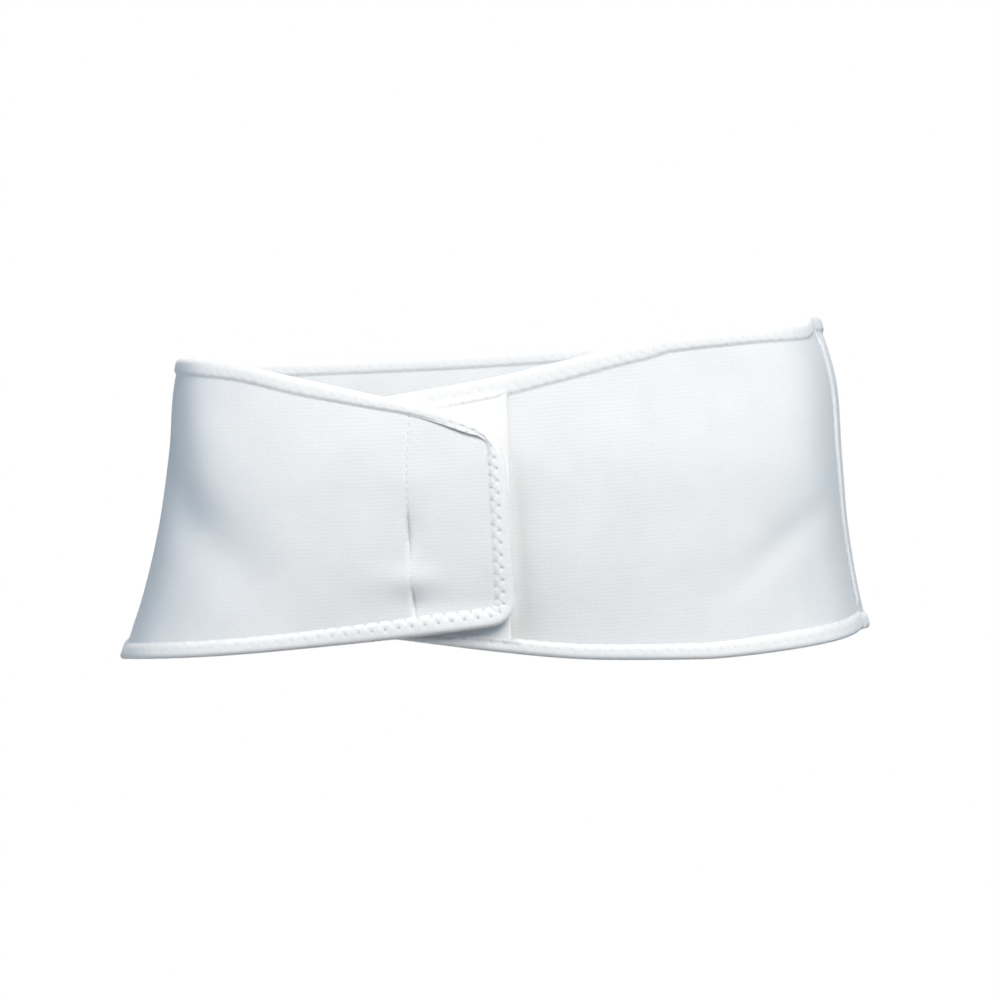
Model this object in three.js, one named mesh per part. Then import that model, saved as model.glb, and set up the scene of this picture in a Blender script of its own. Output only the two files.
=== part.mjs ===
// Sacroiliac belt: a tapered elastic hip belt, closed at the front with hook and loop, in its worn shape.
// Millimetres. +Z is up, -Y is the wearer's front, +X is on the right of someone who faces the wearer.
// The origin is on the hip axis at the middle of the belt's height.
//
// Every piece is drawn on the belt's flat pattern and laid on the hips:
//   around  distance round the hips from the front centre, positive towards +X
//   rise    height above the belt's middle line
//   offset  distance outwards from the hip surface
import * as THREE from 'three';

// Cloth
const PANEL_THICKNESS = 1.8;
const TAPE_THICKNESS = 0.9;
const TAPE_WIDTH = 5.4;
const PATCH_THICKNESS = 1.2;
const GAP = 0.3;

// Layers, as offsets of each piece's middle surface
const LAP_LIFT = PANEL_THICKNESS + GAP;
const LOOP_LIFT = (PANEL_THICKNESS + PATCH_THICKNESS) / 2 + GAP;
const OVERLAP_LIFT = PANEL_THICKNESS + 2 * PATCH_THICKNESS + 3 * GAP;

// Places round the hips
const OVERLAP_END = 0.9;
const UNDER_END = -95;
const LEFT_SEAM = -250;
const RIGHT_SEAM = 186;
const TONGUE = 18;
const LOOP_PATCH = { from: -84, to: OVERLAP_END + 2.5, slant: 0.044 };
const HOOK_PATCH = { from: -46, to: OVERLAP_END - TAPE_WIDTH - 4, slant: 0 };
const OVERLAP_RAMP = { from: -156, to: -98 };
const LAP_RAMP = { flat: 20, length: 28 };
const FLAP_SPRING = { out: 2.4, from: -75, to: -10, above: -38, below: -54 };
const PATCH_MARGIN = 1;
const TONGUE_MARGIN = 2.5;
const TONGUE_STEP = 1;

// How the belt sits: one side higher, its cross lines leaning, its front a little lower than its sides
const CANT = Math.tan(THREE.MathUtils.degToRad(3.3));
const LEAN = 0.08;
const FRONT_DIP = 7;

// Mesh fineness
const STATION_STEP = 12;
const PANEL_ROWS = 16;
const CORNER_STEPS = 6;
const END_STEPS = 8;
const GIRTH_STEPS = 720;
const FOLD_STEPS = 24;

// Horizontal sections of the hips, from below upwards
const SQUARENESS = 0.09;
const HIP_SECTIONS = [
  { height: -90, halfWidth: 182.5, halfDepth: 125, sideShift: -2.5, backShift: 10.5 },
  { height: -54, halfWidth: 171.2, halfDepth: 120.5, sideShift: -1.5, backShift: 9.5 },
  { height: -18, halfWidth: 163.4, halfDepth: 116, sideShift: -0.4, backShift: 6 },
  { height: 18, halfWidth: 159.2, halfDepth: 111.4, sideShift: 0.4, backShift: 2.6 },
  { height: 54, halfWidth: 155.9, halfDepth: 105.5, sideShift: 0.6, backShift: 2.5 },
  { height: 90, halfWidth: 144.5, halfDepth: 101, sideShift: 0.5, backShift: 3 },
];

// Cut edges of the panels, as rises above the middle line, and how far the tape reaches in from them; the
// pinch is the share of its width that the tape loses at most, within the given span of a corner
const OVERLAP_EDGES = [
  { around: -280, top: 68.5, bottom: -71.8, topTape: 5.4, bottomTape: 5.2 },
  { around: -220, top: 69.1, bottom: -70, topTape: 5.4, bottomTape: 5.2 },
  { around: -180, top: 70.4, bottom: -65.7, topTape: 5.4, bottomTape: 5.2 },
  { around: -150, top: 71.4, bottom: -62.2, topTape: 5.4, bottomTape: 5.2 },
  { around: -120, top: 69.5, bottom: -59.2, topTape: 5.4, bottomTape: 5.3 },
  { around: -90, top: 62.8, bottom: -56.5, topTape: 5.6, bottomTape: 5.6 },
  { around: -60, top: 55.4, bottom: -54.1, topTape: 4.6, bottomTape: 6.4 },
  { around: -30, top: 47.1, bottom: -51.5, topTape: 3.2, bottomTape: 7 },
  { around: 10, top: 32, bottom: -47.4, topTape: 4.2, bottomTape: 6.2 },
];
const UNDER_EDGES = [
  { around: -110, top: 46.8, bottom: -43.5, topTape: 7.6, bottomTape: 5 },
  { around: -50, top: 53.5, bottom: -53.3, topTape: 7.6, bottomTape: 4.9 },
  { around: 0, top: 59.5, bottom: -62.5, topTape: 7.4, bottomTape: 4.8 },
  { around: 30, top: 64.3, bottom: -67, topTape: 6.9, bottomTape: 4.8 },
  { around: 60, top: 69.1, bottom: -69.3, topTape: 6.4, bottomTape: 4.9 },
  { around: 74, top: 70.8, bottom: -70.2, topTape: 6.2, bottomTape: 5.1 },
  { around: 86, top: 71.8, bottom: -70.8, topTape: 5, bottomTape: 5.3 },
  { around: 130, top: 71.8, bottom: -70.2, topTape: 5.1, bottomTape: 5.9 },
  { around: 164, top: 70, bottom: -70.2, topTape: 5.2, bottomTape: 5.9 },
  { around: 174, top: 71, bottom: -70.3, topTape: 5.2, bottomTape: 5.9 },
  { around: 183, top: 72.7, bottom: -70.5, topTape: 5.2, bottomTape: 5.9 },
  { around: 190, top: 72.7, bottom: -70.7, topTape: 5.2, bottomTape: 5.9 },
  { around: 210, top: 70.5, bottom: -71.2, topTape: 5.2, bottomTape: 5.8 },
];
const BACK_EDGES = [
  { around: 160, top: 73.5, bottom: -70.4 },
  { around: 200, top: 71.6, bottom: -72.2 },
  { around: 250, top: 66.5, bottom: -73.9 },
  { around: 485, top: 61, bottom: -72.5 },
  { around: 650, top: 64, bottom: -72 },
  { around: 700, top: 68, bottom: -71.7 },
  { around: 730, top: 69.3, bottom: -71.5 },
];
const OVERLAP_CORNERS = { top: 24, bottom: 9 };
const UNDER_CORNERS = { top: 12, bottom: 12 };
const CORNER_PINCH = { top: 0.65, bottom: 0, span: 0.8 };
const END_TAPE = 6.2;

// Soft shapes of the stretched cloth: a diagonal crease on each side, the hollow of the lower front, and the
// ridge where each side turns
const FOLDS = [
  { start: [-205, 29], bend: [-135, 1], finish: [-96, -42], width: 15, depth: -2.9 },
  { start: [160, -8], bend: [125, -21], finish: [90, -50], width: 7.5, depth: -1.4 },
  { start: [-140, -90], bend: [-30, -90], finish: [80, -90], width: 48, depth: -12 },
  { start: [-150, 95], bend: [-143, 45], finish: [-128, 0], width: 18, depth: 3 },
  { start: [142, 80], bend: [142, 25], finish: [134, -25], width: 20, depth: 3.2 },
];

// Smooth curve through one column of a table whose rows go up in `key`
function readTable(rows, key, column, at) {
  const last = rows.length - 1;
  const i = rows.slice(1, last).filter((row) => row[key] <= at).length;
  const slopeAt = (k) => {
    const before = rows[Math.max(k - 1, 0)];
    const after = rows[Math.min(k + 1, last)];
    return (after[column] - before[column]) / (after[key] - before[key]);
  };
  const span = rows[i + 1][key] - rows[i][key];
  const u = THREE.MathUtils.clamp((at - rows[i][key]) / span, 0, 1);
  const ease = u * u * (3 - 2 * u);
  const leave = u * (1 - u) * (1 - u) * span * slopeAt(i);
  const arrive = u * u * (1 - u) * span * slopeAt(i + 1);
  return rows[i][column] * (1 - ease) + rows[i + 1][column] * ease + leave - arrive;
}

function range(count, make) {
  return Array.from({ length: count }, (_, i) => make(i));
}

// A point `offset` outside the hips; angle 0 is the front and a quarter turn is the +X side
function hipPoint(angle, height, offset) {
  const read = (column) => readTable(HIP_SECTIONS, 'height', column, height);
  const width = read('halfWidth') / (1 - SQUARENESS);
  const depth = read('halfDepth') / (1 - SQUARENESS);
  const x = read('sideShift') + width * (Math.sin(angle) + SQUARENESS * Math.sin(3 * angle));
  const y = read('backShift') - depth * (Math.cos(angle) - SQUARENESS * Math.cos(3 * angle));
  const alongX = width * (Math.cos(angle) + 3 * SQUARENESS * Math.cos(3 * angle));
  const alongY = depth * (Math.sin(angle) - 3 * SQUARENESS * Math.sin(3 * angle));
  const reach = offset / Math.hypot(alongX, alongY);
  return new THREE.Vector3(x + reach * alongY, y - reach * alongX, height);
}

// Distances round the mid-height section, one for each equal step of angle from back to back
const GIRTH_MARKS = [0];
for (let i = 1; i <= GIRTH_STEPS; i += 1) {
  const angleOf = (k) => Math.PI * (2 * k / GIRTH_STEPS - 1);
  const step = hipPoint(angleOf(i), 0, 0).distanceTo(hipPoint(angleOf(i - 1), 0, 0));
  GIRTH_MARKS.push(GIRTH_MARKS[i - 1] + step);
}
const GIRTH = GIRTH_MARKS[GIRTH_STEPS];
const FRONT_MARK = GIRTH_MARKS[GIRTH_STEPS / 2];

function angleAt(around) {
  const turns = Math.floor((around + FRONT_MARK) / GIRTH);
  const mark = around + FRONT_MARK - turns * GIRTH;
  const next = GIRTH_MARKS.findIndex((value) => value > mark);
  const part = (mark - GIRTH_MARKS[next - 1]) / (GIRTH_MARKS[next] - GIRTH_MARKS[next - 1]);
  return Math.PI * (2 * (next - 1 + part) / GIRTH_STEPS - 1 + 2 * turns);
}

function middleHeight(around) {
  const angle = angleAt(around);
  const facingFront = Math.max(Math.cos(angle), 0);
  return CANT * hipPoint(angle, 0, 0).x - FRONT_DIP * facingFront * facingFront;
}

const FOLD_PATHS = FOLDS.map(({ start, bend, finish, width, depth }) => {
  const corners = [start, bend, finish].map(([around, rise]) => new THREE.Vector2(around, rise));
  return { points: new THREE.QuadraticBezierCurve(...corners).getPoints(FOLD_STEPS), width, depth };
});

function foldOffset(around, rise) {
  const here = new THREE.Vector2(around, rise);
  return FOLD_PATHS.reduce((sum, { points, width, depth }) => {
    const shares = points.map((point, k) => {
      return Math.sin(Math.PI * k / FOLD_STEPS) * Math.exp(-((point.distanceTo(here) / width) ** 2));
    });
    return sum + depth * Math.max(...shares);
  }, 0);
}

function place(around, rise, offset) {
  const angle = angleAt(around - LEAN * rise);
  return hipPoint(angle, middleHeight(around) + rise, offset + foldOffset(around, rise));
}

// A closed shell lofted through stations, each an outer and an inner row of as many points
function loft(stations) {
  const rowCount = stations[0].outer.length;
  const ringCount = 2 * rowCount;
  const rings = stations.map(({ outer, inner }) => [...outer, ...inner.slice().reverse()]);
  const index = [];
  const quad = (a, b, c, d) => index.push(a, b, c, a, c, d);
  for (let i = 0; i + 1 < rings.length; i += 1) {
    for (let k = 0; k < ringCount; k += 1) {
      const next = (k + 1) % ringCount;
      const [here, ahead] = [i * ringCount, (i + 1) * ringCount];
      quad(here + k, ahead + k, ahead + next, here + next);
    }
  }
  const lastRing = (rings.length - 1) * ringCount;
  for (let k = 0; k + 1 < rowCount; k += 1) {
    const facing = ringCount - 1 - k;
    quad(k, k + 1, facing - 1, facing);
    quad(lastRing + k + 1, lastRing + k, lastRing + facing, lastRing + facing - 1);
  }
  const geometry = new THREE.BufferGeometry().setFromPoints(rings.flat());
  geometry.setIndex(index);
  geometry.computeVertexNormals();
  return geometry;
}

// A sheet between two edges, at the given places round the hips; a slant leans its ends
function sheet({ stations, bottom, top, lift, thickness, slant = 0 }) {
  return loft(stations.map((around) => {
    const [low, high] = [bottom(around), top(around)];
    const row = (side) => range(PANEL_ROWS, (k) => {
      const rise = THREE.MathUtils.lerp(low, high, k / (PANEL_ROWS - 1));
      return place(around + slant * rise, rise, lift(around, rise) + side * thickness / 2);
    });
    return { outer: row(1), inner: row(-1) };
  }));
}

// A tape folded over an edge: the path's points hold the edge, its outward direction and the tape's width
function foldedTape(path, lift) {
  const within = PANEL_THICKNESS / 2 + GAP;
  const turn = (radius) => [90, 45, -45, -90].map((degrees) => {
    const angle = THREE.MathUtils.degToRad(degrees);
    return [radius * Math.cos(angle), radius * Math.sin(angle)];
  });
  const profile = (radius, width) => [[-width, radius], ...turn(radius), [-width, -radius]];
  return loft(path.map(({ around, rise, outward, width }) => {
    const row = (radius) => profile(radius, width).map(([out, offset]) => {
      const [at, up] = [around + out * outward[0], rise + out * outward[1]];
      return place(at, up, lift(at, up) + offset);
    });
    return { outer: row(within + TAPE_THICKNESS), inner: row(within) };
  }));
}

// Multiples of the station step that lie well inside a stretch, with the stretch's own two ends
function stationsBetween(from, to) {
  const clear = STATION_STEP / 4;
  const first = Math.ceil((from + clear) / STATION_STEP);
  const last = Math.floor((to - clear) / STATION_STEP);
  return [from, ...range(Math.max(last - first + 1, 0), (i) => (first + i) * STATION_STEP), to];
}

const SIDES = { top: 1, bottom: -1 };

// The rounding of a front panel's free end where one edge meets it
function endCorner({ edges, end, facing }, side, radius) {
  const centre = end - facing * radius;
  const edge = readTable(edges, 'around', side, centre);
  const ahead = readTable(edges, 'around', side, centre + facing);
  const closing = SIDES[side] * (edge - ahead);
  const start = Math.atan2(1, closing);
  return { centre, rise: edge - SIDES[side] * radius * Math.hypot(1, closing), radius, start };
}

// A front panel's cut: its edges run from the side seam to a free end with rounded corners
function frontCut({ edges, end, seam, facing, corners }) {
  const corner = {
    top: endCorner({ edges, end, facing }, 'top', corners.top),
    bottom: endCorner({ edges, end, facing }, 'bottom', corners.bottom),
  };
  const pastTurn = (side, around) => {
    const { centre, radius, start } = corner[side];
    return facing * (around - centre) - radius * Math.cos(start);
  };
  const edgeAt = (side) => (around) => {
    if (pastTurn(side, around) <= 0) return readTable(edges, 'around', side, around);
    const { centre, rise, radius } = corner[side];
    return rise + SIDES[side] * Math.sqrt(Math.max(radius ** 2 - (around - centre) ** 2, 0));
  };
  const tapeWidth = (side, around) => readTable(edges, 'around', `${side}Tape`, around);
  return { end, seam, facing, corner, tapeWidth, pastTurn, top: edgeAt('top'), bottom: edgeAt('bottom') };
}

// A front panel with the narrower tongue that its rear margin makes under the back panel
function frontPanel(cut, lift) {
  const { facing, seam, end, corner } = cut;
  const narrow = seam + facing * GAP;
  const full = narrow + facing * TONGUE_STEP;
  const tongueEnd = STATION_STEP * Math.round((seam - facing * TONGUE) / STATION_STEP);
  const turn = corner.top.radius;
  const rounded = range(CORNER_STEPS, (k) => {
    return end - facing * turn * (1 - Math.sin((Math.PI / 2) * (k + 1) / CORNER_STEPS));
  });
  const straight = facing > 0
    ? stationsBetween(full, end - turn)
    : stationsBetween(end + turn, full).reverse();
  const tongue = facing > 0
    ? stationsBetween(tongueEnd, narrow)
    : stationsBetween(narrow, tongueEnd).reverse();
  const stations = [...tongue, ...straight, ...rounded];
  const inTongue = (around) => facing * (around - narrow) <= 0;
  const margin = TAPE_WIDTH + TONGUE_MARGIN;
  return sheet({
    stations: facing > 0 ? stations : stations.reverse(),
    bottom: (around) => cut.bottom(around) + (inTongue(around) ? margin : 0),
    top: (around) => cut.top(around) - (inTongue(around) ? margin : 0),
    lift,
    thickness: PANEL_THICKNESS,
  });
}

function edgeSlope(edge, around) {
  const half = 0.5;
  return (edge(around + half) - edge(around - half)) / (2 * half);
}

// One edge of a cut as a tape's path, along the stations given
function edgePath(edge, side, stations, tapeWidth) {
  return stations.map((around) => {
    const slope = edgeSlope(edge, around);
    const length = Math.hypot(1, slope);
    const outward = [-SIDES[side] * slope / length, SIDES[side] / length];
    return { around, rise: edge(around), outward, width: tapeWidth(side, around) };
  });
}

// The path of the tape round a front panel: top edge, free end, bottom edge
function frontTapePath(cut) {
  const { facing, seam, end, corner, tapeWidth, pastTurn } = cut;
  const from = seam + facing * GAP;
  const run = facing > 0 ? stationsBetween(from, end) : stationsBetween(end, from).reverse();
  const straight = (side) => {
    const clear = -STATION_STEP / 4;
    const before = run.filter((around) => pastTurn(side, around) < clear);
    return edgePath(cut[side], side, before, tapeWidth);
  };
  const turned = (side) => range(CORNER_STEPS + 1, (k) => {
    const { centre, rise, radius, start } = corner[side];
    const done = k / CORNER_STEPS;
    const angle = start * (1 - done);
    const outward = [facing * Math.cos(angle), SIDES[side] * Math.sin(angle)];
    const around = centre + radius * outward[0];
    const pinched = Math.sin(Math.PI * Math.min(done / CORNER_PINCH.span, 1)) ** 2;
    const plain = THREE.MathUtils.lerp(tapeWidth(side, around), END_TAPE, done);
    const width = plain * (1 - CORNER_PINCH[side] * pinched);
    return { around, rise: rise + radius * outward[1], outward, width };
  });
  const endLine = range(END_STEPS - 1, (k) => {
    const rise = THREE.MathUtils.lerp(corner.top.rise, corner.bottom.rise, (k + 1) / END_STEPS);
    return { around: end, rise, outward: [facing, 0], width: END_TAPE };
  });
  const path = [
    ...straight('top'), ...turned('top'), ...endLine,
    ...turned('bottom').reverse(), ...straight('bottom').reverse(),
  ];
  return facing > 0 ? path : path.reverse();
}

// Rises between the two tapes of a cut, where a patch may lie
function insideTapes(cut) {
  const clearOf = (side) => (around) => {
    const margin = cut.tapeWidth(side, around) + PATCH_MARGIN;
    const slant = Math.hypot(1, edgeSlope(cut[side], around));
    return cut[side](around) - SIDES[side] * margin * slant;
  };
  return { bottom: clearOf('bottom'), top: clearOf('top') };
}

function piece(name, geometry, finish) {
  const mesh = new THREE.Mesh(geometry, new THREE.MeshStandardMaterial(finish));
  mesh.name = name;
  return mesh;
}

const smoothstep = THREE.MathUtils.smoothstep;
const overlapLift = (around, rise) => {
  const free = smoothstep(around, FLAP_SPRING.from, FLAP_SPRING.to);
  const spring = FLAP_SPRING.out * free * smoothstep(-rise, -FLAP_SPRING.above, -FLAP_SPRING.below);
  return OVERLAP_LIFT * smoothstep(around, OVERLAP_RAMP.from, OVERLAP_RAMP.to) + spring;
};
const underLift = () => 0;
const backStart = RIGHT_SEAM;
const backEnd = LEFT_SEAM + GIRTH;
const backLift = (around) => {
  const inside = Math.min(around - backStart, backEnd - around) - LAP_RAMP.flat;
  return LAP_LIFT * (1 - smoothstep(inside, 0, LAP_RAMP.length));
};

const evenTape = () => TAPE_WIDTH;
const overlapCut = frontCut({
  edges: OVERLAP_EDGES,
  end: OVERLAP_END,
  seam: LEFT_SEAM,
  facing: 1,
  corners: OVERLAP_CORNERS,
});
const underCut = frontCut({
  edges: UNDER_EDGES,
  end: UNDER_END,
  seam: RIGHT_SEAM,
  facing: -1,
  corners: UNDER_CORNERS,
});
const backEdge = (side) => (around) => readTable(BACK_EDGES, 'around', side, around);
const backHalf = GIRTH / 2;
const backStations = [
  ...stationsBetween(backStart, backHalf).slice(0, -1),
  ...stationsBetween(-backHalf, LEFT_SEAM).map((around) => around + GIRTH),
];

const knit = { color: 0xeef1f4, roughness: 0.9, metalness: 0 };
const tape = { color: 0xf5f6f6, roughness: 0.8, metalness: 0 };
const loops = { color: 0xfafafa, roughness: 0.95, metalness: 0 };
const hooks = { color: 0xe8eaec, roughness: 0.6, metalness: 0 };

const belt = new THREE.Group();
belt.add(piece('overlap_panel', frontPanel(overlapCut, overlapLift), knit));
belt.add(piece('under_panel', frontPanel(underCut, underLift), knit));
belt.add(piece('back_panel', sheet({
  stations: backStations,
  bottom: backEdge('bottom'),
  top: backEdge('top'),
  lift: backLift,
  thickness: PANEL_THICKNESS,
}), knit));

belt.add(piece('overlap_binding', foldedTape(frontTapePath(overlapCut), overlapLift), tape));
belt.add(piece('under_binding', foldedTape(frontTapePath(underCut), underLift), tape));
const backTop = edgePath(backEdge('top'), 'top', backStations, evenTape);
const backBottom = edgePath(backEdge('bottom'), 'bottom', backStations, evenTape).reverse();
belt.add(piece('back_top_binding', foldedTape(backTop, backLift), tape));
belt.add(piece('back_bottom_binding', foldedTape(backBottom, backLift), tape));

belt.add(piece('loop_patch', sheet({
  stations: stationsBetween(LOOP_PATCH.from, LOOP_PATCH.to),
  ...insideTapes(underCut),
  lift: () => LOOP_LIFT,
  thickness: PATCH_THICKNESS,
  slant: LOOP_PATCH.slant,
}), loops));
belt.add(piece('hook_patch', sheet({
  stations: stationsBetween(HOOK_PATCH.from, HOOK_PATCH.to),
  ...insideTapes(overlapCut),
  lift: (around, rise) => overlapLift(around, rise) - LOOP_LIFT,
  thickness: PATCH_THICKNESS,
  slant: HOOK_PATCH.slant,
}), hooks));

export default belt;
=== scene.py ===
"""Looks of the sacroiliac belt: knitted panels, folded edge tape, fastener patches and stitching.

Sizes are in millimetres until a mesh is made. Every piece is drawn on the belt's flat pattern and laid
on the hips, with each point given by:
    around  distance round the hips from the front centre, positive towards +X
    rise    height above the belt's middle line
    offset  distance outwards from the hip surface
"""

import math

import bpy
import numpy as np
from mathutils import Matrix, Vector


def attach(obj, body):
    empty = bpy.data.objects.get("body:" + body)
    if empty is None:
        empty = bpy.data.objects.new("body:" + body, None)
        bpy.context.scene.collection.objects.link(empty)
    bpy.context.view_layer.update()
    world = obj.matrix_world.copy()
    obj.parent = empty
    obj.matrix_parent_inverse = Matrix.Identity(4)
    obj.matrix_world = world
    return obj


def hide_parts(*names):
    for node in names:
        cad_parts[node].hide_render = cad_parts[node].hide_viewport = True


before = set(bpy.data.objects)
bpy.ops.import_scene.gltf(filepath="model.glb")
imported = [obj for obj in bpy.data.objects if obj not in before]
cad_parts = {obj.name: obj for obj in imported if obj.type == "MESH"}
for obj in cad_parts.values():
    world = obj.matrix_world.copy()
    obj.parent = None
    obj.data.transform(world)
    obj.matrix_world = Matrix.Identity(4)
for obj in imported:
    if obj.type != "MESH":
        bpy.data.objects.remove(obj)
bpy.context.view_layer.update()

MM = 0.001


def table(names, *rows):
    """A table as one array for each named column."""
    return dict(zip(names.split(), np.array(rows, float).T))


# Cloth
PANEL_THICKNESS = 1.8
TAPE_THICKNESS = 0.9
TAPE_WIDTH = 5.4
PATCH_THICKNESS = 1.2
GAP = 0.3

# Layers, as offsets of each piece's middle surface
LAP_LIFT = PANEL_THICKNESS + GAP
LOOP_LIFT = (PANEL_THICKNESS + PATCH_THICKNESS) / 2 + GAP
OVERLAP_LIFT = PANEL_THICKNESS + 2 * PATCH_THICKNESS + 3 * GAP

# The closed layers, from the under panel's face to the flap's
STACK_FLOOR = PANEL_THICKNESS / 2
STACK_FACE = OVERLAP_LIFT + PANEL_THICKNESS / 2

# Places round the hips
OVERLAP_END = 0.9
UNDER_END = -95
LEFT_SEAM = -250
RIGHT_SEAM = 186
TONGUE = 18
LOOP_PATCH = (-84, OVERLAP_END + 2.5)
LOOP_SLANT = 0.044
HOOK_PATCH = (-46, OVERLAP_END - TAPE_WIDTH - 4)
OVERLAP_RAMP = (-156, -98)
LAP_FLAT = 20
LAP_SLOPE = 28
PATCH_TUCK = 2
TONGUE_MARGIN = 2.5

# Rounded rims: how far in they reach, and the share of the thickness left at the edge
BACK_RIM = (1.0, 0.7)
PATCH_RIM = (2, 0.2)

# The flap's lower edge springs out where the hooks no longer hold it
SPRING_OUT = 2.4
SPRING_AROUND = (-75, -10)
SPRING_BELOW = (38, 54)

# How the belt sits: one side higher, its cross lines leaning, its front a little lower than its sides
CANT = math.tan(math.radians(3.3))
LEAN = 0.08
FRONT_DIP = 7

# Horizontal sections of the hips, from below upwards
SQUARENESS = 0.09
HIP_SECTIONS = table(
    "height half_width half_depth side_shift back_shift",
    (-90, 182.5, 125, -2.5, 10.5),
    (-54, 171.2, 120.5, -1.5, 9.5),
    (-18, 163.4, 116, -0.4, 6),
    (18, 159.2, 111.4, 0.4, 2.6),
    (54, 155.9, 105.5, 0.6, 2.5),
    (90, 144.5, 101, 0.5, 3),
)

# Cut edges of the panels, as rises above the middle line, and how far the tape reaches in from them
OVERLAP_EDGES = table(
    "around top bottom top_tape bottom_tape",
    (-280, 68.5, -71.8, 5.4, 5.2),
    (-220, 69.1, -70, 5.4, 5.2),
    (-180, 70.4, -65.7, 5.4, 5.2),
    (-150, 71.4, -62.2, 5.4, 5.2),
    (-120, 69.5, -59.2, 5.4, 5.3),
    (-90, 62.8, -56.5, 5.6, 5.6),
    (-60, 55.4, -54.1, 4.6, 6.4),
    (-30, 47.1, -51.5, 3.2, 7),
    (10, 32, -47.4, 4.2, 6.2),
)
UNDER_EDGES = table(
    "around top bottom top_tape bottom_tape",
    (-110, 46.8, -43.5, 7.6, 5),
    (-50, 53.5, -53.3, 7.6, 4.9),
    (0, 59.5, -62.5, 7.4, 4.8),
    (30, 64.3, -67, 6.9, 4.8),
    (60, 69.1, -69.3, 6.4, 4.9),
    (74, 70.8, -70.2, 6.2, 5.1),
    (86, 71.8, -70.8, 5, 5.3),
    (130, 71.8, -70.2, 5.1, 5.9),
    (164, 70, -70.2, 5.2, 5.9),
    (174, 71, -70.3, 5.2, 5.9),
    (183, 72.7, -70.5, 5.2, 5.9),
    (190, 72.7, -70.7, 5.2, 5.9),
    (210, 70.5, -71.2, 5.2, 5.8),
)
BACK_EDGES = table(
    "around top bottom",
    (160, 73.5, -70.4),
    (200, 71.6, -72.2),
    (250, 66.5, -73.9),
    (485, 61, -72.5),
    (650, 64, -72),
    (700, 68, -71.7),
    (730, 69.3, -71.5),
)
OVERLAP_CORNERS = {"top": 24, "bottom": 9}
UNDER_CORNERS = {"top": 12, "bottom": 12}

# The tape along the free ends, and the share of its width that it loses at most within a span of each corner
END_TAPE = 6.2
CORNER_PINCH = {"top": 0.65, "bottom": 0, "span": 0.8}

# Soft shapes of the stretched cloth: a diagonal crease on each side, the hollow of the lower front, and the
# ridge where each side turns
FOLDS = [
    {"start": (-205, 29), "bend": (-135, 1), "finish": (-96, -42), "width": 15, "push": -2.9},
    {"start": (160, -8), "bend": (125, -21), "finish": (90, -50), "width": 7.5, "push": -1.4},
    {"start": (-140, -90), "bend": (-30, -90), "finish": (80, -90), "width": 48, "push": -12},
    {"start": (-150, 95), "bend": (-143, 45), "finish": (-128, 0), "width": 18, "push": 3},
    {"start": (142, 80), "bend": (142, 25), "finish": (134, -25), "width": 20, "push": 3.2},
]
FOLD_STEPS = 48

# Zigzag stitches; near and far are shares of the leaf's width, and the stitches are firm at the free end
ZIGZAG_PITCH = 5.7
ZIGZAG_NEAR = 0.38
ZIGZAG_FAR = 0.88
NEEDLE_RADIUS = 0.8
NEEDLE_DEPTH = 0.3
GROOVE_DEPTH = 0.32
GROOVE_REACH = 0.9
HOLE_RADIUS = 0.6
LOOSE_STITCH = 0.22
FIRM_START = 10
FIRM_END = {"top": 32, "bottom": 120}
SCALLOP = 0.06
THREAD_RADIUS = 0.25
THREAD_SHOWN = 0.8

# The tape's leaf: how its edge lies, its rim, the crown over its fold and the fold's ripple
LEAF_SETTLED = -0.42
SETTLES_FROM = 0.4
LEAF_STAND_OFF = {"top": 1.5, "bottom": 0}
STAND_FADE = (12, 42)
STAND_TURN = (0.25, 0.5)
LEAF_RIDE = 1.3
RIDE_FADE = 3
LEAF_RIM = 1.8
RIM_LEFT = 0.25
LEAF_CROWN = 0.3
RIPPLE = 0.07

# How the fold closes towards the tape's cut ends, and the share of its hollow left there
FOLD_CLOSES = 2
HOLLOW_LEFT = 0.05

# The straight line that holds the hook patch
HOOK_LINE = -42.9
HOOK_LINE_SLANT = -0.006
HOOK_LINE_BOW = 0.0014
HOOK_STITCH = 3.7
HOOK_VALLEY = {"least": 0.2, "free_side": 4.5, "other_side": 0.7}
HOOK_GROOVE = {"share": 0.3, "reach": 0.8}
HOOK_PULLS = table("rise reach depth", (-8, 11, 2.9), (-40, 6, 2.2))
HOOK_PUFFS = table("rise reach height", (18, 8, 0.5), (-28.5, 6.5, 1.7))
PUFF_REACH = 13

# The seams' rows, and how far they press the back panel in at mid-height and at its edges
SEAM_STITCH = 3.2
SEAM_ROWS = (3, 12)
SEAM_PRESS = {"middle": 0.5, "edges": 1.9, "reach": 5}
SEAM_EDGE = (6, 12)

# A straight stitch: the shares of its pitch between which it shows, and its rise and sink in thread radii
STITCH_SPAN = (0.08, 0.92)
STITCH_BOW = 1.6
STITCH_SINK = 1.2

# The hollow that the closed flap draws beside its end
HOLLOW_DEPTH = 1.1
HOLLOW_START = (-30, -15)
HOLLOW_FINISH = (OVERLAP_END + 2, OVERLAP_END + 17)
HOLLOW_BELOW = (-35, 40)

# Mesh fineness
COLUMN_STEP = 2.0
ROW_COUNT = 84
PATCH_ROW = 0.02
FINE_COLUMNS = (HOOK_LINE - 5, HOOK_LINE + 9)
FINE_STEP = 0.4
RUN_STEP = 0.5
STATIONS_PER_STITCH = 8
THREAD_SIDES = 6
THREAD_POINTS = 7

# Directions of the tape's fold, from its outer leaf round to its inner one, and half the fold's length
FOLD_TURN = np.radians([68, 45, 22, 0, -22, -45, -68])
FOLD_HALF = (PANEL_THICKNESS / 2 + GAP) * FOLD_TURN[0]


def smoothstep(value, low, high):
    share = np.clip((np.asarray(value, float) - low) / (high - low), 0, 1)
    return share * share * (3 - 2 * share)


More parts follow.
